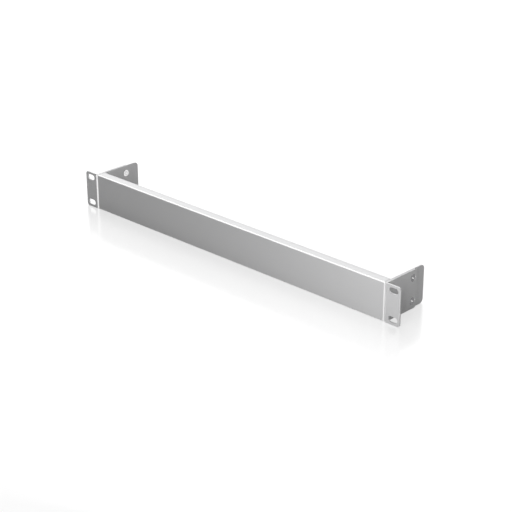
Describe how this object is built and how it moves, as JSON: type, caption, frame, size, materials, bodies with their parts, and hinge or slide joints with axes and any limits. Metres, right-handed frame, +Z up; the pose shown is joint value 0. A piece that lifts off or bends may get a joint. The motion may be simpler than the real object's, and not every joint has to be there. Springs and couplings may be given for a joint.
{
  "type": "blanking panel",
  "caption": "Folded sheet-metal blanking panel, one rack unit high, with side returns and screwed-on slotted rack ears that close an empty space in a 19 inch rack.",
  "frame": {"origin": "centre of the four rack slots, in the plane of the ears' backs, which bear on the rack's rails", "axes": "+X along the panel's width to its right end seen from the front, +Y backwards into the rack, +Z up"},
  "size_m": [0.4826, 0.0635, 0.0436],
  "materials": {
    "panel_finish": "satin silver coat on folded steel sheet",
    "ear_finish": "satin silver coat on bent steel sheet",
    "screw_plating": "bright zinc plate",
    "nut_plating": "bright zinc plate"
  },
  "bodies": {
    "root": {"front_panel": "panel_finish", "left_rack_ear": "ear_finish", "right_rack_ear": "ear_finish", "ear_screws": "screw_plating", "clinch_nuts": "nut_plating"}
  },
  "joints": []
}
